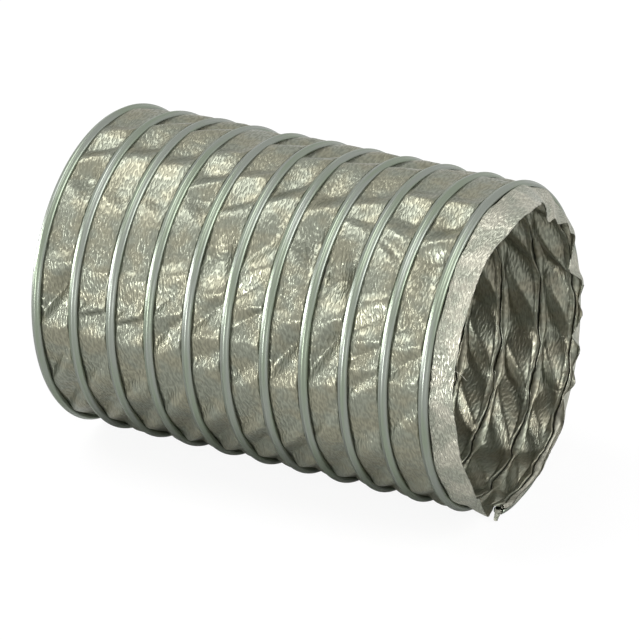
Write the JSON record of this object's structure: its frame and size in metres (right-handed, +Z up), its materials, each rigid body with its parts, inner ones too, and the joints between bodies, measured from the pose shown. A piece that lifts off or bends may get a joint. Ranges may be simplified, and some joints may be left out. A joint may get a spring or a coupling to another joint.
{
  "type": "flexible air duct",
  "caption": "Short length of flexible round air duct: metallic coated fabric wound on a helix, its hems gripped by an outer rolled steel clip profile.",
  "frame": {"origin": "on the floor under the middle of the duct, which lies on its side", "axes": "+X along the duct towards the open end with the loose flap, +Y across, +Z up"},
  "size_m": [0.3002, 0.2108, 0.2097],
  "materials": {
    "clip_steel": "galvanised, satin",
    "duct_fabric": "metallic coated woven glass cloth",
    "hem_fabric": "folded coated cloth edge"
  },
  "bodies": {
    "turn_01": {"clip_turn_01": "clip_steel", "hem_turn_01": "hem_fabric"},
    "bay_01": {"fabric_bay_01": "duct_fabric"},
    "turn_02": {"clip_turn_02": "clip_steel", "hem_turn_02": "hem_fabric"},
    "bay_02": {"fabric_bay_02": "duct_fabric"},
    "turn_03": {"clip_turn_03": "clip_steel", "hem_turn_03": "hem_fabric"},
    "bay_03": {"fabric_bay_03": "duct_fabric"},
    "turn_04": {"clip_turn_04": "clip_steel", "hem_turn_04": "hem_fabric"},
    "bay_04": {"fabric_bay_04": "duct_fabric"},
    "turn_05": {"clip_turn_05": "clip_steel", "hem_turn_05": "hem_fabric"},
    "bay_05": {"fabric_bay_05": "duct_fabric"},
    "turn_06": {"clip_turn_06": "clip_steel", "hem_turn_06": "hem_fabric"},
    "bay_06": {"fabric_bay_06": "duct_fabric"},
    "turn_07": {"clip_turn_07": "clip_steel", "hem_turn_07": "hem_fabric"},
    "bay_07": {"fabric_bay_07": "duct_fabric"},
    "turn_08": {"clip_turn_08": "clip_steel", "hem_turn_08": "hem_fabric"},
    "bay_08": {"fabric_bay_08": "duct_fabric"},
    "turn_09": {"clip_turn_09": "clip_steel", "hem_turn_09": "hem_fabric"},
    "bay_09": {"fabric_bay_09": "duct_fabric"},
    "turn_10": {"clip_turn_10": "clip_steel", "hem_turn_10": "hem_fabric"},
    "bay_10": {"fabric_bay_10": "duct_fabric"},
    "turn_11": {"clip_turn_11": "clip_steel", "hem_turn_11": "hem_fabric", "end_flap": "duct_fabric"}
  },
  "joints": [
    {"name": "bend_01", "type": "hinge", "parent": "turn_01", "child": "bay_01", "pos_m": [-0.11731, 0, 0.1049], "axis": [0, 0, 1], "range_deg": [-3, 3], "deforming": ["fabric_bay_01"]},
    {"name": "squeeze_01", "type": "slide", "parent": "bay_01", "child": "turn_02", "axis": [-1, 0, 0], "range_m": [-0.002, 0.008], "deforming": ["fabric_bay_01"]},
    {"name": "bend_02", "type": "hinge", "parent": "turn_02", "child": "bay_02", "pos_m": [-0.09031, 0, 0.1049], "axis": [0, 0, 1], "range_deg": [-3, 3], "deforming": ["fabric_bay_02"]},
    {"name": "squeeze_02", "type": "slide", "parent": "bay_02", "child": "turn_03", "axis": [-1, 0, 0], "range_m": [-0.002, 0.008], "deforming": ["fabric_bay_02"]},
    {"name": "bend_03", "type": "hinge", "parent": "turn_03", "child": "bay_03", "pos_m": [-0.06331, 0, 0.1049], "axis": [0, 0, 1], "range_deg": [-3, 3], "deforming": ["fabric_bay_03"]},
    {"name": "squeeze_03", "type": "slide", "parent": "bay_03", "child": "turn_04", "axis": [-1, 0, 0], "range_m": [-0.002, 0.008], "deforming": ["fabric_bay_03"]},
    {"name": "bend_04", "type": "hinge", "parent": "turn_04", "child": "bay_04", "pos_m": [-0.03631, 0, 0.1049], "axis": [0, 0, 1], "range_deg": [-3, 3], "deforming": ["fabric_bay_04"]},
    {"name": "squeeze_04", "type": "slide", "parent": "bay_04", "child": "turn_05", "axis": [-1, 0, 0], "range_m": [-0.002, 0.008], "deforming": ["fabric_bay_04"]},
    {"name": "bend_05", "type": "hinge", "parent": "turn_05", "child": "bay_05", "pos_m": [-0.00931, 0, 0.1049], "axis": [0, 0, 1], "range_deg": [-3, 3], "deforming": ["fabric_bay_05"]},
    {"name": "squeeze_05", "type": "slide", "parent": "bay_05", "child": "turn_06", "axis": [-1, 0, 0], "range_m": [-0.002, 0.008], "deforming": ["fabric_bay_05"]},
    {"name": "bend_06", "type": "hinge", "parent": "turn_06", "child": "bay_06", "pos_m": [0.01769, 0, 0.1049], "axis": [0, 0, 1], "range_deg": [-3, 3], "deforming": ["fabric_bay_06"]},
    {"name": "squeeze_06", "type": "slide", "parent": "bay_06", "child": "turn_07", "axis": [-1, 0, 0], "range_m": [-0.002, 0.008], "deforming": ["fabric_bay_06"]},
    {"name": "bend_07", "type": "hinge", "parent": "turn_07", "child": "bay_07", "pos_m": [0.04469, 0, 0.1049], "axis": [0, 0, 1], "range_deg": [-3, 3], "deforming": ["fabric_bay_07"]},
    {"name": "squeeze_07", "type": "slide", "parent": "bay_07", "child": "turn_08", "axis": [-1, 0, 0], "range_m": [-0.002, 0.008], "deforming": ["fabric_bay_07"]},
    {"name": "bend_08", "type": "hinge", "parent": "turn_08", "child": "bay_08", "pos_m": [0.07169, 0, 0.1049], "axis": [0, 0, 1], "range_deg": [-3, 3], "deforming": ["fabric_bay_08"]},
    {"name": "squeeze_08", "type": "slide", "parent": "bay_08", "child": "turn_09", "axis": [-1, 0, 0], "range_m": [-0.002, 0.008], "deforming": ["fabric_bay_08"]},
    {"name": "bend_09", "type": "hinge", "parent": "turn_09", "child": "bay_09", "pos_m": [0.09869, 0, 0.1049], "axis": [0, 0, 1], "range_deg": [-3, 3], "deforming": ["fabric_bay_09"]},
    {"name": "squeeze_09", "type": "slide", "parent": "bay_09", "child": "turn_10", "axis": [-1, 0, 0], "range_m": [-0.002, 0.008], "deforming": ["fabric_bay_09"]},
    {"name": "bend_10", "type": "hinge", "parent": "turn_10", "child": "bay_10", "pos_m": [0.12569, 0, 0.1049], "axis": [0, 0, 1], "range_deg": [-3, 3], "deforming": ["fabric_bay_10"]},
    {"name": "squeeze_10", "type": "slide", "parent": "bay_10", "child": "turn_11", "axis": [-1, 0, 0], "range_m": [-0.002, 0.008], "deforming": ["fabric_bay_10"]}
  ],
  "couplings": [
    {"joint": "bend_02", "follows": "bend_01", "ratio": 1},
    {"joint": "squeeze_02", "follows": "squeeze_01", "ratio": 1},
    {"joint": "bend_03", "follows": "bend_01", "ratio": 1},
    {"joint": "squeeze_03", "follows": "squeeze_01", "ratio": 1},
    {"joint": "bend_04", "follows": "bend_01", "ratio": 1},
    {"joint": "squeeze_04", "follows": "squeeze_01", "ratio": 1},
    {"joint": "bend_05", "follows": "bend_01", "ratio": 1},
    {"joint": "squeeze_05", "follows": "squeeze_01", "ratio": 1},
    {"joint": "bend_06", "follows": "bend_01", "ratio": 1},
    {"joint": "squeeze_06", "follows": "squeeze_01", "ratio": 1},
    {"joint": "bend_07", "follows": "bend_01", "ratio": 1},
    {"joint": "squeeze_07", "follows": "squeeze_01", "ratio": 1},
    {"joint": "bend_08", "follows": "bend_01", "ratio": 1},
    {"joint": "squeeze_08", "follows": "squeeze_01", "ratio": 1},
    {"joint": "bend_09", "follows": "bend_01", "ratio": 1},
    {"joint": "squeeze_09", "follows": "squeeze_01", "ratio": 1},
    {"joint": "bend_10", "follows": "bend_01", "ratio": 1},
    {"joint": "squeeze_10", "follows": "squeeze_01", "ratio": 1}
  ]
}
